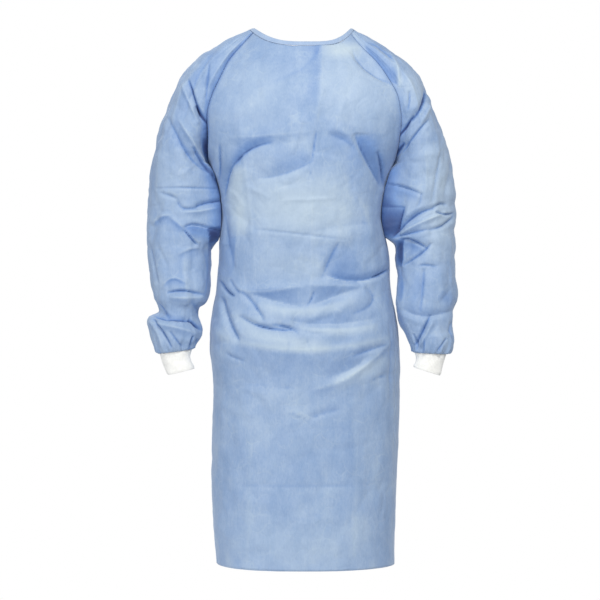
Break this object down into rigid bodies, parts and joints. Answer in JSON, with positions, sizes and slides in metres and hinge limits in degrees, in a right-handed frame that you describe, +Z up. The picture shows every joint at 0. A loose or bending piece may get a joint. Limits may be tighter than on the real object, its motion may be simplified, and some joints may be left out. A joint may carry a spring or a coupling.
{
  "type": "surgical gown",
  "caption": "Hollow long-sleeved surgical gown in its worn form, with raglan sleeves, knitted cuffs and a wrap-over back tied at the waist.",
  "frame": {"origin": "base of the neck, midway between the points where the neck edge crosses the shoulders, where the wearer's shoulders hold the gown up", "axes": "+Z up, -Y the way the front faces, +X towards the wearer's left"},
  "size_m": [0.679, 0.3, 1.1731],
  "materials": {
    "gown_cloth": "matt sky-blue nonwoven",
    "cuff_knit": "white rib knit",
    "tab_tape": "matt hook-and-loop tape"
  },
  "bodies": {
    "root": {"front": "gown_cloth", "back_left": "gown_cloth", "back_right": "gown_cloth", "sleeve_right": "gown_cloth", "sleeve_left": "gown_cloth", "cuff_right": "cuff_knit", "cuff_left": "cuff_knit", "neck_binding": "gown_cloth", "neck_tab": "tab_tape", "waist_tie_right": "gown_cloth", "waist_tie_left": "gown_cloth", "waist_knot": "gown_cloth", "tie_end_right": "gown_cloth", "tie_end_left": "gown_cloth"}
  },
  "joints": []
}
